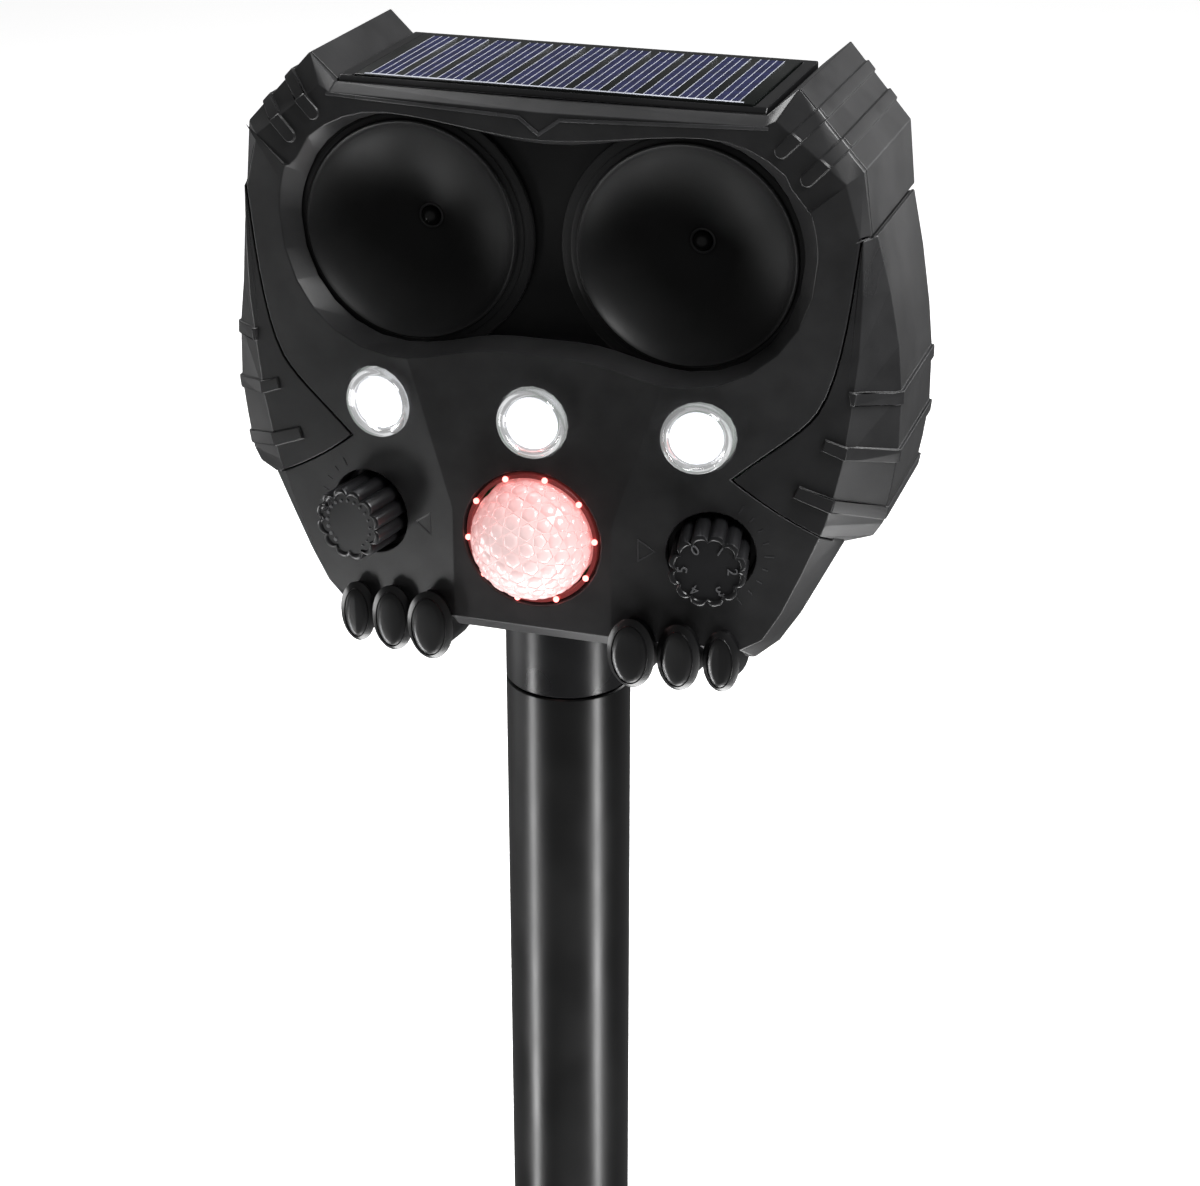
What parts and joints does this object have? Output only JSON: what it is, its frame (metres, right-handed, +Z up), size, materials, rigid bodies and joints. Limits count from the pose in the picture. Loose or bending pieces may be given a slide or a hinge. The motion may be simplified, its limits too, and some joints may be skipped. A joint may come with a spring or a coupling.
{
  "type": "ultrasonic pest repeller",
  "caption": "Owl-faced garden pest repeller: a black head with horn speakers, lights, a motion sensor and knobs, a solar panel on top, on a pole with a ground spike.",
  "frame": {"origin": "on the pole axis at soil level, the underside of the soil flange", "axes": "+Z up along the pole, -Y towards the front of the face, +X to the right as seen from the front"},
  "size_m": [0.1438, 0.0671, 0.3997],
  "materials": {
    "shell": "fine matt texture, charcoal",
    "wing_trim": "fine matt texture, a little darker",
    "solar": "dark blue cells under clear resin",
    "horn": "satin black",
    "baffle": "black",
    "clear": "clear, polished",
    "reflector": "bright",
    "lamp": "white, lit",
    "sensor_dome": "translucent, faceted, lit from inside",
    "red_light": "red, lit",
    "knob": "satin black",
    "steel": "plated",
    "claw": "polished black",
    "board": "green solder mask",
    "battery": "printed sleeve, plain",
    "tray": "moulded black",
    "rubber": "soft black",
    "switch": "white",
    "collar": "satin black",
    "pole": "gloss black",
    "spike": "moulded black"
  },
  "bodies": {
    "pole": {"ground_spike": "spike", "pole_tube": "pole"},
    "head": {"front_shell": "shell", "rear_shell": "shell", "battery_door": "shell", "left_wing": "wing_trim", "right_wing": "wing_trim", "panel_frame": "wing_trim", "solar_panel": "solar", "left_horn": "horn", "right_horn": "horn", "left_horn_dome": "horn", "right_horn_dome": "horn", "horn_baffle": "baffle", "left_light_lens": "clear", "middle_light_lens": "clear", "right_light_lens": "clear", "left_light_reflector": "reflector", "middle_light_reflector": "reflector", "right_light_reflector": "reflector", "left_light_emitter": "lamp", "middle_light_emitter": "lamp", "right_light_emitter": "lamp", "sensor_dome": "sensor_dome", "alert_ring": "red_light", "left_horn_driver": "steel", "right_horn_driver": "steel", "motion_sensor": "steel", "sensitivity_potentiometer": "steel", "frequency_selector": "steel", "case_screw_1": "steel", "case_screw_2": "steel", "case_screw_3": "steel", "case_screw_4": "steel", "door_screw_1": "steel", "door_screw_2": "steel", "usb_socket": "steel", "neck_nut": "steel", "left_foot": "claw", "right_foot": "claw", "main_board": "board", "battery_cell_1": "battery", "battery_cell_2": "battery", "battery_tray": "tray", "power_switch": "switch", "neck_collar": "collar"},
    "sensitivity_dial": {"sensitivity_knob": "knob", "sensitivity_shaft": "steel"},
    "frequency_dial": {"frequency_knob": "knob", "frequency_shaft": "steel"},
    "button_cap": {"power_button": "rubber"},
    "port_flap": {"usb_flap": "rubber"}
  },
  "joints": [
    {"name": "head_swivel", "type": "hinge", "parent": "pole", "child": "head", "pos_m": [0, 0, 0.1], "axis": [0, 0, 1], "continuous": true},
    {"name": "sensitivity_turn", "type": "hinge", "parent": "head", "child": "sensitivity_dial", "pos_m": [-0.0369, -0.01928, 0.2032], "axis": [-0.1895, -0.9819, 0], "range_deg": [-135, 135]},
    {"name": "frequency_turn", "type": "hinge", "parent": "head", "child": "frequency_dial", "pos_m": [0.0369, -0.01928, 0.2032], "axis": [-0.1895, 0.9819, 0], "range_deg": [0, 300]},
    {"name": "power_press", "type": "slide", "parent": "head", "child": "button_cap", "axis": [0, -0.9929, 0.1191], "range_m": [0, 0.0012], "stiffness_N_per_m": 600, "springref_m": -0.0003},
    {"name": "flap_swing", "type": "hinge", "parent": "head", "child": "port_flap", "pos_m": [0.017, 0.02886, 0.2576], "axis": [1, 0, 0], "range_deg": [0, 100]}
  ]
}
